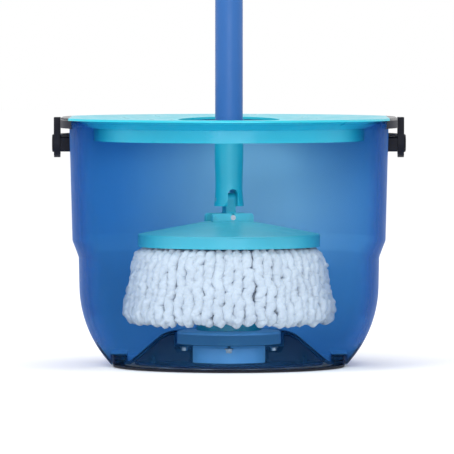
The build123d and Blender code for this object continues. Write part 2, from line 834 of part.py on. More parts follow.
with BuildSketch(Plane.XZ) as joint_outline:
    with BuildLine():
        Polyline((14.4, joint_bottom), (0, joint_bottom), (0, joint_top), (13.7, joint_top))
        Spline(
            (13.7, joint_top),
            (13.7, 196),
            (13.1, 178),
            (13.1, 169),
            (14.4, joint_bottom),
            tangents=((0, -1), (0.12, -1)),
        )
    make_face()

with BuildPart() as joint_tube:
    revolve(joint_outline.sketch, axis=Axis.Z)
    # the lower end is rounded about the upper pin so that it swings clear of the ears
    with BuildSketch(mop_yz):
        with Locations((0, upper_pin_z - 20)):
            Rectangle(60, 40)
        with Locations((0, upper_pin_z)):
            Circle(fork_reach, mode=Mode.SUBTRACT)
    extrude(amount=20, both=True, mode=Mode.SUBTRACT)
    with BuildSketch(mop_xz):
        with Locations((0, slot_top - slot_half)):
            Circle(slot_half)
        with Locations((0, (joint_bottom - 1 + slot_top - slot_half) / 2)):
            Rectangle(2 * slot_half, slot_top - slot_half - joint_bottom + 1)
    extrude(amount=20, both=True, mode=Mode.SUBTRACT)
    with BuildSketch(Plane.XY.offset(joint_top)):
        Circle(lower_tube_radius - tube_wall)
    extrude(amount=spigot_top - joint_top)
    with BuildSketch(Plane.XY.offset(spigot_floor)):
        Circle(spigot_bore)
    extrude(amount=40, mode=Mode.SUBTRACT)
    with BuildSketch(mop_xz.offset(-20)):
        with Locations((0, button_z)):
            Circle(button_radius)
    extrude(amount=20 - spigot_bore, mode=Mode.SUBTRACT)
    with BuildSketch(mop_yz):
        with Locations((0, upper_pin_z)):
            Circle(joint_pin)
    extrude(amount=20, both=True, mode=Mode.SUBTRACT)

with BuildPart() as upper_pin:
    with BuildSketch(mop_yz):
        with Locations((0, upper_pin_z)):
            Circle(joint_pin)
    extrude(amount=13, both=True)

# ---------------------------------------------------------------- lower pole

with BuildPart() as lower_tube:
    with BuildSketch(Plane.XY.offset(joint_top)):
        Circle(lower_tube_radius)
        Circle(lower_tube_radius - tube_wall, mode=Mode.SUBTRACT)
    extrude(amount=lower_tube_top - joint_top)
    with BuildSketch(mop_xz.offset(-20)):
        with Locations((0, button_z)):
            Circle(button_radius)
    extrude(amount=12, mode=Mode.SUBTRACT)

with BuildPart() as spring_button:
    with BuildSketch(mop_xz.offset(-lower_tube_radius - 1.6)):
        with Locations((0, button_z)):
            Circle(button_radius)
    extrude(amount=lower_tube_radius + 1.6 - spigot_bore - 0.3)
    fillet(spring_button.faces().sort_by(Axis(origin=(0, 0, 0), direction=to_back))[-1].edges(), radius=1.2)

with BuildPart() as rod_plug:
    with BuildSketch(Plane.XY.offset(spigot_floor)):
        Circle(spigot_bore)
    extrude(amount=spigot_top - spigot_floor)
    with BuildSketch(Plane.XY.offset(spigot_top)):
        Circle(lower_tube_radius - tube_wall - 0.1)
    extrude(amount=3)
    with BuildSketch(Plane.XY.offset(bar_bottom)):
        Rectangle(bar_width, bar_thickness)
    extrude(amount=40, mode=Mode.SUBTRACT)
    with BuildSketch(Plane.XZ):
        with Locations((0, bar_pin_z)):
            Circle(bar_pin_radius)
    extrude(amount=20, both=True, mode=Mode.SUBTRACT)

with BuildPart() as bar_pin:
    with BuildSketch(Plane.XZ):
        with Locations((0, bar_pin_z)):
            Circle(bar_pin_radius)
    extrude(amount=spigot_bore - 0.1, both=True)

with BuildPart() as twisted_bar:
    for step in range(twist_steps + 1):
        rise = (bar_top - twist_start) * step / twist_steps
        with BuildSketch(Plane.XY.offset(twist_start + rise)):
            Rectangle(bar_width, bar_thickness, rotation=360 * rise / twist_lead)
    loft(ruled=True)
    with BuildSketch(Plane.XY.offset(bar_bottom)):
        Rectangle(bar_width, bar_thickness)
    extrude(amount=twist_start - bar_bottom)
    with BuildSketch(Plane.XZ):
        with Locations((0, bar_pin_z)):
            Circle(bar_pin_radius)
    extrude(amount=20, both=True, mode=Mode.SUBTRACT)

# ---------------------------------------------------------------- guide collar and lock

with BuildPart() as guide_collar:
    with BuildSketch(Plane.XY.offset(collar_bottom)):
        Circle(lower_tube_radius - tube_wall - pin_play)
    extrude(amount=lower_tube_top + 1 - collar_bottom)
    with BuildSketch(Plane.XY.offset(lower_tube_top + 0.3)):
        Circle(collar_radius)
    extrude(amount=collar_top - lower_tube_top - 0.3)
    with BuildSketch(Plane.XY.offset(lock_top + 0.3)):
        Circle(collar_radius + 1.6)
    extrude(amount=collar_top - lock_top - 0.3)
    fillet(guide_collar.edges().group_by(Axis.Z)[-1], radius=1.5)
    with BuildSketch(Plane.XY.offset(collar_bottom)):
        Circle(upper_tube_radius + pin_play)
    extrude(amount=100, mode=Mode.SUBTRACT)
    with BuildSketch(Plane.XY.offset(collar_top - 3)):
        Circle(collar_radius - 1.8)
    extrude(amount=10, mode=Mode.SUBTRACT)

with BuildPart() as collar_seal:
    with BuildSketch(Plane.XY.offset(collar_top - 3)):
        Circle(collar_radius - 1.8)
        Circle(upper_tube_radius + pin_play, mode=Mode.SUBTRACT)
    extrude(amount=2.6)

with BuildPart() as lock_ring:
    with BuildSketch(Plane.XY.offset(lock_bottom)):
        Circle(lock_radius)
        with PolarLocations(lock_radius, 18):
            Circle(0.9)
        Circle(collar_radius + pin_play, mode=Mode.SUBTRACT)
    extrude(amount=lock_top - lock_bottom)

# ---------------------------------------------------------------- upper pole

with BuildPart() as upper_tube:
    with BuildSketch(Plane.XY.offset(upper_tube_bottom)):
        Circle(upper_tube_radius)
        Circle(upper_tube_radius - tube_wall, mode=Mode.SUBTRACT)
    extrude(amount=upper_tube_top - upper_tube_bottom)

nut_turn = 360 * (nut_pin_z - twist_start) / twist_lead
nut_pin_offset = bar_thickness / 2 + nut_pin_radius + 0.16
nut_plane = Plane((0, 0, nut_pin_z), x_dir=(1, 0, 0), z_dir=(0, 0, 1)).rotated((0, 0, nut_turn))
nut_pin_plane = Plane(nut_plane.origin, x_dir=nut_plane.y_dir, z_dir=nut_plane.x_dir)

with BuildPart() as drive_nut:
    with BuildSketch(Plane.XY.offset(nut_bottom)):
        Circle(lower_tube_radius - tube_wall - 0.45)
    extrude(amount=upper_tube_bottom - nut_bottom)
    with BuildSketch(Plane.XY.offset(upper_tube_bottom)):
        Circle(upper_tube_radius - tube_wall)
    extrude(amount=16)
    with BuildSketch(Plane.XY.offset(nut_bottom)):
        Circle(bar_width / 2 + 0.6)
    extrude(amount=60, mode=Mode.SUBTRACT)
    with BuildSketch(nut_pin_plane):
        with Locations((nut_pin_offset, 0), (-nut_pin_offset, 0)):
            Circle(nut_pin_radius)
    extrude(amount=20, both=True, mode=Mode.SUBTRACT)

with BuildPart() as drive_pins:
    with BuildSketch(nut_pin_plane):
        with Locations((nut_pin_offset, 0), (-nut_pin_offset, 0)):
            Circle(nut_pin_radius)
    extrude(amount=10.6, both=True)

with BuildSketch(Plane.XZ) as grip_outline:
    with BuildLine():
        Polyline((upper_tube_radius, grip_top), (upper_tube_radius, grip_bottom))
        Polyline((upper_tube_radius, grip_bottom), (14.2, grip_bottom), (15.0, grip_bottom + 6))
        Spline(
            (15.0, grip_bottom + 6),
            (14.0, grip_bottom + 40),
            (15.2, grip_bottom + 80),
            (14.0, grip_top - 12),
            (14.6, grip_top),
        )
        Line((14.6, grip_top), (upper_tube_radius, grip_top))
    make_face()

with BuildPart() as hand_grip:
    revolve(grip_outline.sketch, axis=Axis.Z)
    for groove in range(grip_grooves):
        with BuildSketch(Plane.XZ) as groove_section:
            with Locations((16.1, grip_bottom + 18 + 12 * groove)):
                Circle(2.2)
        revolve(groove_section.sketch, axis=Axis.Z, mode=Mode.SUBTRACT)

with BuildPart() as end_cap:
    with BuildSketch(Plane.XY.offset(upper_tube_top - 18)):
        Circle(upper_tube_radius - tube_wall)
    extrude(amount=19)
    with BuildSketch(Plane.XY.offset(upper_tube_top)):
        Circle(cap_radius)
    extrude(amount=10)
    fillet(end_cap.edges().filter_by(GeomType.CIRCLE).group_by(Axis.Z)[-1], radius=3)
    with BuildSketch(Plane.XZ):
        with Locations((0, eye_z)):
            Circle(tab_radius)
        with Locations((0, (upper_tube_top + 6 + eye_z) / 2)):
            Rectangle(2 * tab_radius - 1, eye_z - upper_tube_top - 6)
    extrude(amount=tab_thickness / 2, both=True)
    with BuildSketch(Plane.XZ):
        with Locations((0, eye_z)):
            Circle(eye_radius)
    extrude(amount=20, both=True, mode=Mode.SUBTRACT)

# ---------------------------------------------------------------- files

pieces = {
    "bucket_shell": bucket_shell,
    "foot_ring": foot_ring,
    "base_frame": base_frame,
    "frame_screws": frame_screws,
    "splash_guard": splash_guard,
    "bail_lugs": bail_lugs,
    "bail_pins": bail_pins,
    "bail_handle": bail_handle,
    "bail_grip": bail_grip,
    "drive_housing": drive_housing,
    "housing_gasket": housing_gasket,
    "flange_screws": flange_screws,
    "base_plate": base_plate,
    "base_plate_screws": base_plate_screws,
    "bearing_outer_rings": bearing_outer_rings,
    "bearing_inner_rings": bearing_inner_rings,
    "bearing_balls": bearing_balls,
    "shaft_seal": shaft_seal,
    "bearing_spacer": bearing_spacer,
    "drive_shaft": drive_shaft,
    "shaft_circlip": shaft_circlip,
    "drive_hub": drive_hub,
    "shoulder_pad": shoulder_pad,
    "mop_plate": mop_plate,
    "hub_socket": hub_socket,
    "socket_screws": socket_screws,
    "fringe_carrier": fringe_carrier,
    "carrier_clips": carrier_clips,
    "mop_fringe": mop_fringe,
    "lower_pin": lower_pin,
    "joint_knuckle": joint_knuckle,
    "joint_tube": joint_tube,
    "upper_pin": upper_pin,
    "lower_tube": lower_tube,
    "spring_button": spring_button,
    "rod_plug": rod_plug,
    "bar_pin": bar_pin,
    "twisted_bar": twisted_bar,
    "guide_collar": guide_collar,
    "collar_seal": collar_seal,
    "lock_ring": lock_ring,
    "upper_tube": upper_tube,
    "drive_nut": drive_nut,
    "drive_pins": drive_pins,
    "hand_grip": hand_grip,
    "end_cap": end_cap,
}

os.makedirs("parts", exist_ok=True)
for label, piece in pieces.items():
    piece.part.label = label
    export_step(piece.part, f"parts/{label}.step")
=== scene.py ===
import math

import bpy
import numpy as np
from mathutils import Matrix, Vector


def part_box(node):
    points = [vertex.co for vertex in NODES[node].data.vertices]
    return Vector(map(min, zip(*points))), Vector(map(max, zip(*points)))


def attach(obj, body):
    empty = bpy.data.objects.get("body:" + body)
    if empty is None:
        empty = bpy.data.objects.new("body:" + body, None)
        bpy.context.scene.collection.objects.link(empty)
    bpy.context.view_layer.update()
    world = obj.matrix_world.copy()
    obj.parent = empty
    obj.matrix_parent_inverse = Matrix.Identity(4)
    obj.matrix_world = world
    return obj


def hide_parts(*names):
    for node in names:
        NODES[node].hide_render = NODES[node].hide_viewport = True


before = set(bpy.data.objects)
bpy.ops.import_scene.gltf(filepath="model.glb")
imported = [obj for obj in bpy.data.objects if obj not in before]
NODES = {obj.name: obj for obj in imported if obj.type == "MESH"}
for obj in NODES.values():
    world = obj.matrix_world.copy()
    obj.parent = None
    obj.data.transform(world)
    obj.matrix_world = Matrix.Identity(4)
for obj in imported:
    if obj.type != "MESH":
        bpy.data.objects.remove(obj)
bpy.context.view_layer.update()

scene = bpy.context.scene


def tenth(length):
    """A length in metres to a tenth of a millimetre, so that every build of model.glb gives the same
    strands.
    """
    return round(length, 4)


guard_low, guard_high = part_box("splash_guard")
fringe_low, fringe_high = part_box("mop_fringe")
RIM_RADIUS = tenth(guard_high[0])
# The bucket's plan is a circle stretched backwards, along Y, by this much.
BUCKET_RUN = tenth(guard_high[1] - guard_low[1] - 2 * RIM_RADIUS)
# The rim's dark ends lie further to the sides, further back and higher than this.
RIM_END_X = tenth(RIM_RADIUS - 0.012)
RIM_END_Y = -0.066
RIM_END_Z = tenth(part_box("bucket_shell")[1][2] - 0.0085)
# The hollow under the raised middle of the bucket's floor; its downward faces are painted deep navy as
# shade.
UNDERSIDE_RADIUS = tenth(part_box("foot_ring")[1][0] - 0.0031)
UNDERSIDE_TOP = 0.045

# Nearly all of a noise's values lie between these.
NOISE_LOW = 0.3
NOISE_HIGH = 0.7


# ------------------------------------------------------------------ material building blocks

def new_material(name):
    """An empty node material, its tree and its output node."""
    material = bpy.data.materials.new(name)
    material.use_nodes = True
    tree = material.node_tree
    tree.nodes.clear()
    output = tree.nodes.new("ShaderNodeOutputMaterial")
    return material, tree, output


def node(tree, kind, **settings):
    """A new node; each setting is the value of an input or of a property."""
    made = tree.nodes.new(kind)
    for key, value in settings.items():
        if key in made.inputs:
            made.inputs[key].default_value = value
        else:
            setattr(made, key, value)
    return made


def coords(tree):
    """The place on the object, in metres."""
    return node(tree, "ShaderNodeTexCoord").outputs["Object"]


def parts(tree, vector):
    """The X, Y and Z sockets of a vector."""
    split = node(tree, "ShaderNodeSeparateXYZ")
    tree.links.new(vector, split.inputs[0])
    return split.outputs


def noise(tree, where, scale, detail=3.0, rough=0.55, stretch=None):
    """A noise value at scale cells a metre."""
    if stretch is not None:
        mapping = node(tree, "ShaderNodeMapping", Scale=stretch)
        tree.links.new(where, mapping.inputs["Vector"])
        where = mapping.outputs["Vector"]
    made = node(tree, "ShaderNodeTexNoise", Scale=scale, Detail=detail, Roughness=rough)
    tree.links.new(where, made.inputs["Vector"])
    return made.outputs["Fac"]


def grey(value):
    return (value, value, value)


def scaled(colour, factor):
    return tuple(min(1.0, c * factor) for c in colour)


def srgb(red, green, blue):
    """Linear colour from an sRGB colour given in 0-255."""
    return tuple(
        (v / 255 / 12.92) if v / 255 <= 0.04045 else ((v / 255 + 0.055) / 1.055) ** 2.4
        for v in (red, green, blue)
    )


RIM_BLACK = srgb(5, 12, 32)
DEEP_NAVY = srgb(3, 9, 38)


def ramp(tree, value, *stops):
    """A colour ramp over value, with stops of (position, colour)."""
    made = node(tree, "ShaderNodeValToRGB")
    elements = made.color_ramp.elements
    while len(elements) < len(stops):
        elements.new(0.5)
    for element, (position, colour) in zip(elements, stops):
        element.position = position
        element.color = (*colour, 1.0)
    tree.links.new(value, made.inputs["Fac"])
    return made.outputs["Color"]


def colour_drift(tree, value, colour, spread):
    """The colour, darker and lighter by spread with a noise value."""
    darker, lighter = scaled(colour, 1 - spread), scaled(colour, 1 + spread)
    return ramp(tree, value, (NOISE_LOW, darker), (NOISE_HIGH, lighter))


def grey_drift(tree, value, low, high):
    """A plain value that goes from low to high with a noise value."""
    return ramp(tree, value, (NOISE_LOW, grey(low)), (NOISE_HIGH, grey(high)))


def math_node(tree, operation, *values):
    """A Math node on numbers or sockets."""
    made = node(tree, "ShaderNodeMath", operation=operation)
    for socket, value in zip(made.inputs, values):
        if isinstance(value, (int, float)):
            socket.default_value = value
        else:
            tree.links.new(value, socket)
    return made.outputs["Value"]


def mix_colour(tree, factor, a, b, blend="MIX"):
    """Colour b over colour a by factor; each is a constant or a socket."""
    made = node(tree, "ShaderNodeMix", data_type="RGBA", blend_type=blend)
    factor_slot, a_slot, b_slot = made.inputs[0], made.inputs[6], made.inputs[7]
    for socket, value in ((factor_slot, factor), (a_slot, a), (b_slot, b)):
        if isinstance(value, (int, float)):
            socket.default_value = value
        elif isinstance(value, tuple):
            socket.default_value = (*value, 1.0)
        else:
            tree.links.new(value, socket)
    return made.outputs[2]


def step_between(tree, value, start, end):
    """A smooth step from 0 at start to 1 at end; start may be the larger."""
    made = node(tree, "ShaderNodeMapRange", interpolation_type="SMOOTHSTEP")
    made.inputs["From Min"].default_value = start
    made.inputs["From Max"].default_value = end
    tree.links.new(value, made.inputs["Value"])
    return made.outputs["Result"]


def bump(tree, height, strength, distance, normal=None):
    """A bump of distance metres, over an earlier bump if one is given."""
    made = node(tree, "ShaderNodeBump", Strength=strength, Distance=distance)
    tree.links.new(height, made.inputs["Height"])
    if normal is not None:
        tree.links.new(normal, made.inputs["Normal"])
    return made.outputs["Normal"]


def principled(tree, base, constants, roughness=None, normal=None):
    """A Principled shader, with its constants by the names of its inputs."""
    shader = node(tree, "ShaderNodeBsdfPrincipled", **constants)
    for key, socket in (("Base Color", base), ("Roughness", roughness), ("Normal", normal)):
        if socket is not None:
            tree.links.new(socket, shader.inputs[key])
    return shader


def worn_and_highlit_edges(tree):
    """1 on outside edges, 0 elsewhere; these edges are made lighter, partly as rubbed wear and partly as a
    painted highlight.
    """
    point = node(tree, "ShaderNodeNewGeometry").outputs["Pointiness"]
    return ramp(tree, point, (0.53, grey(0.0)), (0.62, grey(1.0)))


# ------------------------------------------------------------------ plastics, metal, rubber and yarn

# Cells a metre of the noises that every moulded plastic shares.
FLOW_SCALE = 14.0
SMEAR_SCALE = 60.0
# How much lighter an edge is than the face beside it: partly rubbed wear, partly a painted highlight.
RUBBED_AND_HIGHLIT = 1.9


def plastic(name, colour, rough=0.35, grain=1400.0, grain_height=0.00003, spread=0.10,
            coat=0.0, edge_wear_and_highlight=0.25, specular=0.5, black_beyond=None, painted_glow=0.0):
    """Moulded plastic: slow colour drift from flow, fine spark grain, edges lighter (partly rubbed wear,
    partly a painted highlight).
    """
    material, tree, output = new_material(name)
    where = coords(tree)
    flow = noise(tree, where, FLOW_SCALE, 3.0)
    fine = noise(tree, where, grain, 2.0)
    smears = noise(tree, where, SMEAR_SCALE, 4.0)
    base = colour_drift(tree, flow, colour, spread)
    # Outside edges are mixed lighter: partly rubbed wear, partly a painted highlight.
    edges = math_node(tree, "MULTIPLY", worn_and_highlit_edges(tree), edge_wear_and_highlight)
    base = mix_colour(tree, edges, base, scaled(colour, RUBBED_AND_HIGHLIT))
    if black_beyond is not None:
        across = math_node(tree, "ABSOLUTE", parts(tree, where)["X"])
        base = mix_colour(tree, math_node(tree, "GREATER_THAN", across, black_beyond), base, RIM_BLACK)
    constants = {"Specular IOR Level": specular, "Coat Weight": coat, "Coat Roughness": 0.12}
    shader = principled(tree, base, constants, grey_drift(tree, smears, rough - 0.06, rough + 0.08),
                        bump(tree, fine, 0.5, grain_height))
    # Painted light: the base colour is given off as light, so the part glows though it is no lamp.
    if painted_glow:
        tree.links.new(base, shader.inputs["Emission Color"])
        shader.inputs["Emission Strength"].default_value = painted_glow
    tree.links.new(shader.outputs[0], output.inputs["Surface"])
    return material


def metal(name, colour, rough=0.3, stretch=(1.0, 1.0, 1.0), line_scale=900.0, spread=0.12):
    """Metal with fine lines along the direction in which stretch is small, and faint stains."""
    material, tree, output = new_material(name)
    where = coords(tree)
    lines = noise(tree, where, line_scale, 2.0, stretch=stretch)
    stains = math_node(tree, "MULTIPLY", noise(tree, where, 35.0, 4.0), 0.25)
    base = colour_drift(tree, lines, colour, spread)
    base = mix_colour(tree, stains, base, scaled(colour, 0.75))
    shader = principled(tree, base, {"Metallic": 1.0}, grey_drift(tree, lines, rough - 0.08, rough + 0.1),
                        bump(tree, lines, 0.3, 0.00002))
    tree.links.new(shader.outputs[0], output.inputs["Surface"])
    return material


def rubber(name, colour):
    """Matt rubber with pale dust and a fine skin."""
    material, tree, output = new_material(name)
    where = coords(tree)
    dust = noise(tree, where, 120.0, 5.0, 0.7)
    skin = noise(tree, where, 2200.0, 2.0)
    base = ramp(tree, dust, (0.35, colour), (0.75, scaled(colour, 2.6)))
    shader = principled(tree, base, {"Specular IOR Level": 0.35}, grey_drift(tree, dust, 0.6, 0.85),
                        bump(tree, skin, 0.6, 0.00004))
    tree.links.new(shader.outputs[0], output.inputs["Surface"])
    return material


def yarn_material(name):
    """White two-ply microfibre: soft tufts over the ply, with painted shade, a little greyer, in the dips
    between them.
    """
    material, tree, output = new_material(name)
    where = coords(tree)
    shade = noise(tree, where, 45.0, 4.0)
    tuft = noise(tree, where, 380.0, 4.0, 0.7)
    fibre = noise(tree, where, 1500.0, 3.0, 0.7)
    base = ramp(tree, shade, (NOISE_LOW, srgb(214, 215, 219)), (NOISE_HIGH, srgb(226, 227, 230)))
    # Painted shade: the dips between tufts are greyer.
    painted_gap_shade = ramp(tree, tuft, (0.38, grey(0.0)), (0.62, grey(0.25)))
    base = mix_colour(tree, painted_gap_shade, base, srgb(190, 193, 203))
    constants = {
        "Roughness": 0.95,
        "Specular IOR Level": 0.1,
        "Sheen Weight": 0.6,
        "Sheen Roughness": 0.5,
        "Sheen Tint": (0.94, 0.97, 1.0, 1.0),
    }
    tufted = bump(tree, tuft, 0.8, 0.0006)
    shader = principled(tree, base, constants, normal=bump(tree, fibre, 0.6, 0.00025, tufted))
    tree.links.new(shader.outputs[0], output.inputs["Surface"])
    return material


# ------------------------------------------------------------------ the bucket's clear plastic

# Painted light: the back wall's colour is lightest here, a little to the right.
LIGHT_MIDDLE_X = 0.025
# Each pair is where a smooth change along one axis starts and ends, in metres.
LIGHT_SPAN = (0.150, 0.015)
LOW_COLOUR_SPAN = (0.150, 0.060)
WALL_PIGMENT_SPAN = (-0.085, 0.000)
FLOOR_PIGMENT_SPAN = (-0.016, 0.006)
FLOOR_SPAN = (0.030, 0.014)
EDGE_TINT_SPAN = (0.030, 0.055)
# The pigment at the front, and how much more there is at the back.
LEAST_PIGMENT = 0.03
ADDED_PIGMENT = 0.94


def rim_ends(tree, x, y, z):
    """1 on the dark ends of the rim, 0 elsewhere."""
    side = math_node(tree, "GREATER_THAN", math_node(tree, "ABSOLUTE", x), RIM_END_X)
    behind = math_node(tree, "GREATER_THAN", y, RIM_END_Y)
    high = math_node(tree, "GREATER_THAN", z, RIM_END_Z)
    return math_node(tree, "MULTIPLY", math_node(tree, "MULTIPLY", side, high), behind)


def under_floor(tree, x, y, z):
    """1 in the hollow under the raised middle of the floor, 0 elsewhere."""
    squares = math_node(tree, "ADD", math_node(tree, "MULTIPLY", x, x), math_node(tree, "MULTIPLY", y, y))
    near = math_node(tree, "LESS_THAN", math_node(tree, "SQRT", squares), UNDERSIDE_RADIUS)
    return math_node(tree, "MULTIPLY", near, math_node(tree, "LESS_THAN", z, UNDERSIDE_TOP))


def outer_faces(tree, x, y, normal):
    """1 on faces that look away from the middle line of the bucket's plan, 0 elsewhere."""
    middle_y = math_node(tree, "MINIMUM", math_node(tree, "MAXIMUM", y, 0.0), BUCKET_RUN)
    out_y = math_node(tree, "SUBTRACT", y, middle_y)
    outward = math_node(tree, "ADD", math_node(tree, "MULTIPLY", normal["X"], x),
                        math_node(tree, "MULTIPLY", normal["Y"], out_y))
    return math_node(tree, "GREATER_THAN", outward, 0.0)


def inner_colour_with_painted_light(tree, where, side_colour, middle_colour, low_colour):
    """Painted light and shade: lightest in the middle, deeper to the sides and low down, with slow streaks
    from moulding.
    """
    place = parts(tree, where)
    off_middle = math_node(tree, "ABSOLUTE", math_node(tree, "SUBTRACT", place["X"], LIGHT_MIDDLE_X))
    base = mix_colour(tree, step_between(tree, off_middle, *LIGHT_SPAN), side_colour, middle_colour)
    base = mix_colour(tree, step_between(tree, place["Z"], *LOW_COLOUR_SPAN), base, low_colour)
    streaks = noise(tree, where, 9.0, 4.0, 0.6, stretch=(1.0, 1.0, 0.35))
    streaks = ramp(tree, streaks, (NOISE_LOW, grey(0.88)), (0.65, grey(1.0)))
    return mix_colour(tree, 1.0, base, streaks, "MULTIPLY")


def pigment(tree, y, z, hollow):
    """How solid the plastic is: nearly clear in front, nearly solid at the back."""
    wall = step_between(tree, y, *WALL_PIGMENT_SPAN)
    floor_part = step_between(tree, y, *FLOOR_PIGMENT_SPAN)
    low_down = math_node(tree, "MAXIMUM", hollow, step_between(tree, z, *FLOOR_SPAN))
    part = math_node(tree, "MULTIPLY_ADD", low_down, math_node(tree, "SUBTRACT", floor_part, wall), wall)
    return math_node(tree, "MULTIPLY_ADD", part, ADDED_PIGMENT, LEAST_PIGMENT)


def tinted_clear(name, side_colour, middle_colour, low_colour, outer_colour, clear_tint, edge_tint, rough):
    """Translucent plastic, clear on the user's side (-Y) and pigmented from the middle to the back."""
    material, tree, output = new_material(name)
    where = coords(tree)
    x, y, z = parts(tree, where)
    normal = parts(tree, node(tree, "ShaderNodeNewGeometry").outputs["Normal"])
    ends = rim_ends(tree, x, y, z)
    hollow = under_floor(tree, x, y, z)
    outside = math_node(tree, "MULTIPLY", outer_faces(tree, x, y, normal),
                        math_node(tree, "SUBTRACT", 1.0, hollow))
    # Painted shade: faces that look down in the hollow under the floor are painted deep navy.
    facing_down = math_node(tree, "LESS_THAN", normal["Z"], -0.1)
    painted_underside_shade = math_node(tree, "MULTIPLY", hollow, facing_down)
    base = inner_colour_with_painted_light(tree, where, side_colour, middle_colour, low_colour)
    for part, colour in ((outside, outer_colour), (painted_underside_shade, DEEP_NAVY), (ends, RIM_BLACK)):
        base = mix_colour(tree, part, base, colour)
    fine = noise(tree, where, 700.0, 3.0)
    constants = {"Roughness": rough, "Specular IOR Level": 0.06}
    solid = principled(tree, base, constants, normal=bump(tree, fine, 0.35, 0.00004))
    facing = node(tree, "ShaderNodeLayerWeight", Blend=0.5).outputs["Facing"]
    facing = math_node(tree, "MULTIPLY", facing, step_between(tree, z, *EDGE_TINT_SPAN))
    clear = node(tree, "ShaderNodeBsdfTransparent")
    tree.links.new(ramp(tree, facing, (0.55, clear_tint), (0.98, edge_tint)), clear.inputs["Color"])
    amount = math_node(tree, "MAXIMUM", pigment(tree, y, z, hollow), ends)
    mixed = node(tree, "ShaderNodeMixShader")
    for socket, value in zip(mixed.inputs, (amount, clear.outputs[0], solid.outputs[0])):
        tree.links.new(value, socket)
    tree.links.new(mixed.outputs[0], output.inputs["Surface"])
    return material


# ------------------------------------------------------------------ the object's materials

# The first three colours carry painted light and shade on the inner faces: lightest in the middle, deeper to
# the sides and low down.
BUCKET = tinted_clear("bucket_plastic", srgb(76, 160, 232), srgb(158, 218, 244), srgb(94, 174, 234),
                      srgb(36, 96, 172), (0.94, 0.975, 0.998), (0.16, 0.30, 0.58), 0.42)
GUARD = plastic("guard_plastic", srgb(14, 182, 202), 0.32, spread=0.06, coat=0.2,
                black_beyond=RIM_END_X + 0.003)
TURQUOISE = plastic("turquoise_plastic", srgb(14, 156, 176), 0.36, spread=0.07, coat=0.1)
PLATE = plastic("plate_plastic", srgb(60, 168, 184), 0.36, spread=0.06, coat=0.1)
NAVY = plastic("navy_plastic", DEEP_NAVY, 0.5, edge_wear_and_highlight=0.5, specular=0.2)
BLACK = plastic("black_plastic", srgb(4, 7, 20), 0.5, edge_wear_and_highlight=0.5, specular=0.2)
GRIP = plastic("grip_plastic", srgb(16, 22, 40), 0.62, grain=2400.0, grain_height=0.00008)
# The drive housing gets a painted glow, light standing in for the shade it sits in.
LIGHT_BLUE = plastic("light_blue_plastic", srgb(96, 160, 218), 0.34, coat=0.1, painted_glow=0.30)
NYLON = plastic("white_nylon", srgb(222, 226, 228), 0.45, spread=0.04)
BLUE_TUBE = plastic("blue_tube", srgb(28, 84, 146), 0.45, grain=500.0, grain_height=0.00002,
                    spread=0.03, coat=0.05, specular=0.4)
STEEL = metal("steel", (0.56, 0.56, 0.58), 0.34)
POLISHED = metal("polished_steel", (0.75, 0.75, 0.78), 0.16, stretch=(1.0, 1.0, 0.05))
SPRING = metal("spring_steel", (0.27, 0.27, 0.30), 0.36)
SATIN = metal("steel_tube", (0.46, 0.47, 0.50), 0.32, stretch=(1.0, 1.0, 0.02), line_scale=1500.0,
              spread=0.05)
RUBBER = rubber("black_rubber", srgb(7, 6, 18))
YARN = yarn_material("mop_yarn")

FINISH = {
    BUCKET: ["bucket_shell"],
    GUARD: ["splash_guard"],
    TURQUOISE: ["drive_hub", "joint_knuckle", "joint_tube", "guide_collar", "end_cap"],
    PLATE: ["mop_plate"],
    NAVY: ["base_frame", "base_plate", "lock_ring"],
    BLACK: ["bail_lugs", "bail_pins", "bail_handle"],
    GRIP: ["bail_grip", "hand_grip"],
    LIGHT_BLUE: ["drive_housing"],
    NYLON: ["hub_socket", "fringe_carrier", "carrier_clips", "spring_button", "rod_plug", "drive_nut"],
    BLUE_TUBE: ["lower_tube"],
    STEEL: ["frame_screws", "flange_screws", "base_plate_screws", "bearing_outer_rings",
            "bearing_inner_rings", "bearing_spacer", "drive_shaft", "socket_screws", "lower_pin",
            "upper_pin", "bar_pin", "drive_pins"],
    POLISHED: ["bearing_balls", "twisted_bar"],
    SPRING: ["shaft_circlip"],
    SATIN: ["upper_tube"],
    RUBBER: ["foot_ring", "housing_gasket", "shaft_seal", "shoulder_pad", "collar_seal"],
}
for material, names in FINISH.items():
    for name in names:
        piece = NODES[name]
        piece.data.materials.clear()
        piece.data.materials.append(material)


# ------------------------------------------------------------------ the mop's yarn

# The strands leave the plate at this height, and swell and bend at the next three.
PLATE_UNDER = tenth(fringe_high[2] - 0.0021)
SHOULDER_Z = 0.090
BELLY_Z = 0.068
INNER_BEND_Z = 0.080
# Radii of the CAD's yarn ring and of the carrier that the strands hang from.
FRINGE_RADIUS = tenth(fringe_high[0])
CARRIER_RADIUS = tenth(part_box("fringe_carrier")[1][0])
# A ply's thickness, its distance from the strand's middle, and the range of its twist's pitch.
PLY_RADIUS = 0.0046
PLY_OFFSET = 0.0011
PITCHES = (0.019, 0.031)
# Along a strand: the space between rings, the rounding of bends, and the fading of waves at its ends.
RING_STEP = 0.0013
ROUNDING = 0.0095
FADE = 0.02
END_TAPER = 0.0035
FOOT_STEPS = 6
TUFT_HEIGHT = 0.13
ABOUT_A_TURN = 6.28
# Loose fibres: their thickness and lengths, and each ring's (lean, rise, part of the thickness).
FIBRE_RADIUS = 0.00015
FIBRE_LENGTHS = (0.0018, 0.0046)
FIBRE_RINGS = ((0.0, -0.1, 1.0), (0.35, 0.45, 0.8), (0.9, 0.6, 0.3))


def wave(s, length, start, height):
    """A sine wave along s."""
    return height * np.sin(math.tau * s / length + start)


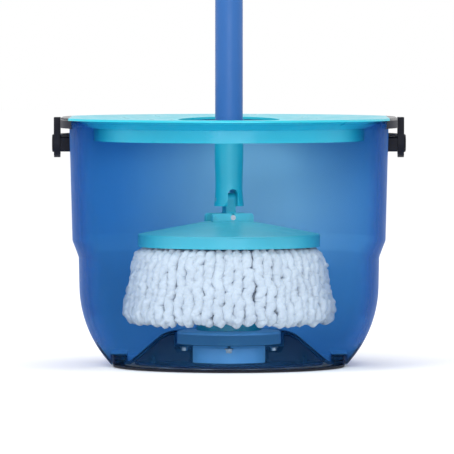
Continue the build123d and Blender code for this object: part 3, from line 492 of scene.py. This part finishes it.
def strand_path(outer_top, outer_foot, inner_foot, inner_top, foot_z, rng):
    """One loop: down the outside, round at the foot, up the inside.

    Gives length along it, radius, height and a small shift to the side, at each ring.
    """
    half = (outer_foot - inner_foot) / 2
    points = [
        (outer_top - 0.012, PLATE_UNDER - 0.0035),
        (outer_top - 0.004, PLATE_UNDER - 0.0045),
        (outer_top, PLATE_UNDER - 0.0095),
        (outer_top + 0.25 * (outer_foot - outer_top), SHOULDER_Z),
        (outer_top + 0.62 * (outer_foot - outer_top), BELLY_Z),
        (outer_foot, foot_z + half + 0.004),
    ]
    for step in range(1, FOOT_STEPS):
        angle = math.pi * step / FOOT_STEPS
        points.append((inner_foot + half + half * math.cos(angle), foot_z + half - half * math.sin(angle)))
    points += [
        (inner_foot, foot_z + half + 0.005),
        (inner_top + 0.5 * (inner_foot - inner_top), INNER_BEND_Z),
        (inner_top, PLATE_UNDER - 0.006),
    ]
    points = np.array(points)
    along = np.concatenate([[0], np.cumsum(np.linalg.norm(np.diff(points, axis=0), axis=1))])
    s = np.linspace(0, along[-1], int(along[-1] / RING_STEP))
    r = np.interp(s, along, points[:, 0])
    z = np.interp(s, along, points[:, 1])
    smooth = int(ROUNDING / RING_STEP) // 2 * 2 + 1
    kernel = np.ones(smooth) / smooth
    inner = slice(smooth // 2, -(smooth // 2))
    for _ in range(2):
        r[inner] = np.convolve(r, kernel, "valid")
        z[inner] = np.convolve(z, kernel, "valid")
    length = rng.uniform(0.024, 0.036)
    start = rng.uniform(0, math.tau)
    fade = np.clip(s / FADE, 0, 1) * np.clip((along[-1] - s) / FADE, 0, 1)
    side = wave(s, length, start, 0.0013) * fade
    side += wave(s, 0.45 * length, 1.7 * start, 0.0007) * fade
    push = wave(s, 1.3 * length, 2.3 * start, 0.0009) * fade
    return s, r + push, z, side


def ply_tubes(phi, path, pitch, turn, rng, sides, verts, faces):
    """Two plies twisted round the strand's middle line, as closed tubes."""
    s, r, z, side = path
    angle = phi + side / np.maximum(r, 0.02)
    middle = np.stack([r * np.cos(angle), r * np.sin(angle), z], axis=1)
    tangent = np.gradient(middle, axis=0)
    tangent /= np.linalg.norm(tangent, axis=1)[:, None]
    sideways = np.stack([-np.sin(angle), np.cos(angle), np.zeros_like(angle)], axis=1)
    sideways -= (sideways * tangent).sum(axis=1)[:, None] * tangent
    sideways /= np.linalg.norm(sideways, axis=1)[:, None]
    outward = np.cross(tangent, sideways)
    ends = np.sqrt(np.clip(np.minimum(s, s[-1] - s) / END_TAPER, 0.02, 1))
    rings = len(s)
    for ply in range(2):
        twist = math.tau * s / pitch + turn + math.pi * ply
        lumps = 1 + wave(s, 0.0071, rng.uniform(0, ABOUT_A_TURN), 0.07)
        lumps += wave(s, 0.0043, rng.uniform(0, ABOUT_A_TURN), 0.05)
        tufts = rng.normal(0, TUFT_HEIGHT, (sides, rings))
        tufts[:, 1:-1] = (tufts[:, :-2] + 2 * tufts[:, 1:-1] + tufts[:, 2:]) / 4
        centre = middle + PLY_OFFSET * (np.cos(twist)[:, None] * sideways + np.sin(twist)[:, None] * outward)
        first = len(verts)
        for k in range(sides):
            around = math.tau * k / sides
            wobble = 1 + tufts[k] + wave(s, 0.009, 3 * around, 0.07)
            reach = (PLY_RADIUS * lumps * ends * wobble)[:, None]
            line = centre + reach * (math.cos(around) * sideways + math.sin(around) * outward)
            verts.extend(map(tuple, line))
        for k in range(sides):
            near, far = first + k * rings, first + ((k + 1) % sides) * rings
            faces.extend((near + i, near + i + 1, far + i + 1, far + i) for i in range(rings - 1))
        faces.append(tuple(first + k * rings for k in range(sides)))
        faces.append(tuple(first + k * rings + rings - 1 for k in reversed(range(sides))))


def yarn_piece(name, verts, faces):
    """A smooth mesh of yarn that goes with the mop head."""
    mesh = bpy.data.meshes.new(name)
    mesh.from_pydata(verts, [], faces)
    for polygon in mesh.polygons:
        polygon.use_smooth = True
    made = bpy.data.objects.new(name, mesh)
    scene.collection.objects.link(made)
    made.data.materials.append(YARN)
    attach(made, "mop_head")
    return made


def yarn_layer(name, count, outer_top, outer_foot, depth, foot_z, sides, seed):
    """A ring of count looped strands, depth from outside to inside."""
    rng = np.random.default_rng(seed)
    verts, faces = [], []
    for i in range(count):
        phi = math.tau * (i + rng.uniform(-0.13, 0.13)) / count
        foot = foot_z + rng.uniform(-0.0022, 0.0022)
        path = strand_path(outer_top, outer_foot + rng.uniform(-0.0012, 0.0012), outer_foot - depth,
                           outer_top - depth, foot, rng)
        ply_tubes(phi, path, rng.uniform(*PITCHES), rng.uniform(0, ABOUT_A_TURN), rng, sides, verts, faces)
    layer = yarn_piece(name, verts, faces)
    layer.data.validate()
    return layer


def fuzz(name, layer, count, seed):
    """Loose fibre ends standing off the strands, each a thin bent three-sided spike."""
    rng = np.random.default_rng(seed)
    total = len(layer.data.vertices)
    places = np.empty(total * 3)
    normals = np.empty(total * 3)
    layer.data.vertices.foreach_get("co", places)
    layer.data.vertices.foreach_get("normal", normals)
    picked = rng.choice(total, count, replace=False)
    start = places.reshape(-1, 3)[picked]
    out = normals.reshape(-1, 3)[picked]
    lean = rng.normal(size=(count, 3))
    lean -= (lean * out).sum(axis=1)[:, None] * out
    lean /= np.linalg.norm(lean, axis=1)[:, None]
    side = np.cross(out, lean)
    across = lean * 0.7 - out * 0.7
    length = rng.uniform(*FIBRE_LENGTHS, count)[:, None]
    verts = np.empty((count, 3, 3, 3))
    for ring, (reach, rise, part) in enumerate(FIBRE_RINGS):
        centre = start + length * (lean * reach + out * rise)
        for corner in range(3):
            angle = math.tau * corner / 3
            off = FIBRE_RADIUS * part * (math.cos(angle) * across + math.sin(angle) * side)
            verts[:, ring, corner] = centre + off
    faces = []
    for first in range(0, 9 * count, 9):
        for ring in (0, 3):
            for corner in range(3):
                here, after = first + ring + corner, first + ring + (corner + 1) % 3
                faces.append((here, after, after + 3, here + 3))
        faces.append((first + 2, first + 1, first))
        faces.append((first + 6, first + 7, first + 8))
    yarn_piece(name, verts.reshape(-1, 3).tolist(), faces)


yarn_outer = yarn_layer("yarn_outer", count=60, outer_top=tenth(CARRIER_RADIUS + 0.0020),
                        outer_foot=tenth(FRINGE_RADIUS - 0.0056), depth=0.0105,
                        foot_z=tenth(fringe_low[2] - 0.0005), sides=12, seed=11)
yarn_layer("yarn_middle", count=46, outer_top=tenth(CARRIER_RADIUS - 0.0113),
           outer_foot=tenth(FRINGE_RADIUS - 0.0221), depth=0.0095,
           foot_z=tenth(fringe_low[2] + 0.0015), sides=8, seed=23)
fuzz("yarn_fuzz", yarn_outer, count=24000, seed=41)
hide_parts("mop_fringe")


# ------------------------------------------------------------------ floor, light and camera

FLOOR_SIZE = 30.0
FLOOR_Z = -0.0006
SENSOR_WIDTH = 36.0
# The middle of the picture, the width that it shows there, and the camera's place.
CENTRE = Vector((-0.0019, 0.0, 0.1336))
VIEW_WIDTH = 0.436
DISTANCE = 6.0
ELEVATION = math.radians(2.0)


def stage_material(name, colour):
    """Pale matt paint with a faint cloudiness and a little light of its own."""
    material, tree, output = new_material(name)
    clouds = noise(tree, coords(tree), 3.0, 3.0)
    tone = ramp(tree, clouds, (NOISE_LOW, scaled(colour, 0.985)), (NOISE_HIGH, colour))
    shader = principled(tree, tone, {
        "Roughness": 0.9,
        "Specular IOR Level": 0.0,
        "Emission Color": (1.0, 1.0, 1.0, 1.0),
        "Emission Strength": 0.05,
    })
    tree.links.new(shader.outputs[0], output.inputs["Surface"])
    return material


def area_light(name, place, target, size, power):
    """A soft rectangular lamp at place that shines on target."""
    data = bpy.data.lights.new(name, "AREA")
    data.shape = "RECTANGLE"
    data.size, data.size_y = size
    data.energy = power
    lamp = bpy.data.objects.new(name, data)
    scene.collection.objects.link(lamp)
    lamp.location = place
    lamp.rotation_euler = (Vector(target) - Vector(place)).to_track_quat("-Z", "Y").to_euler()


bpy.ops.mesh.primitive_plane_add(size=FLOOR_SIZE, location=(0, 0, FLOOR_Z))
floor = bpy.context.object
floor.name = "floor"
floor.data.materials.append(stage_material("floor_paint", (0.97, 0.97, 0.975)))

world = bpy.data.worlds.new("studio")
scene.world = world
world.use_nodes = True
background = world.node_tree.nodes["Background"]
background.inputs["Color"].default_value = (1.0, 1.0, 1.0, 1.0)
background.inputs["Strength"].default_value = 1.0

area_light("key", place=(-1.6, -2.2, 2.6), target=(0, 0, 0.2), size=(1.6, 1.6), power=30)
area_light("top", place=(0.3, 0.5, 2.8), target=(0, 0.05, 0.1), size=(1.4, 1.4), power=14)
area_light("fill", place=(0.2, -3.2, 0.6), target=(0, 0, 0.13), size=(2.0, 1.6), power=28)

camera_data = bpy.data.cameras.new("camera")
camera = bpy.data.objects.new("camera", camera_data)
scene.collection.objects.link(camera)
camera.location = CENTRE + DISTANCE * Vector((0, -math.cos(ELEVATION), math.sin(ELEVATION)))
camera.rotation_euler = (CENTRE - camera.location).to_track_quat("-Z", "Y").to_euler()
camera_data.sensor_width = SENSOR_WIDTH
camera_data.lens = SENSOR_WIDTH * DISTANCE / VIEW_WIDTH
camera_data.clip_end = 60.0
scene.camera = camera
scene.view_settings.view_transform = "Standard"
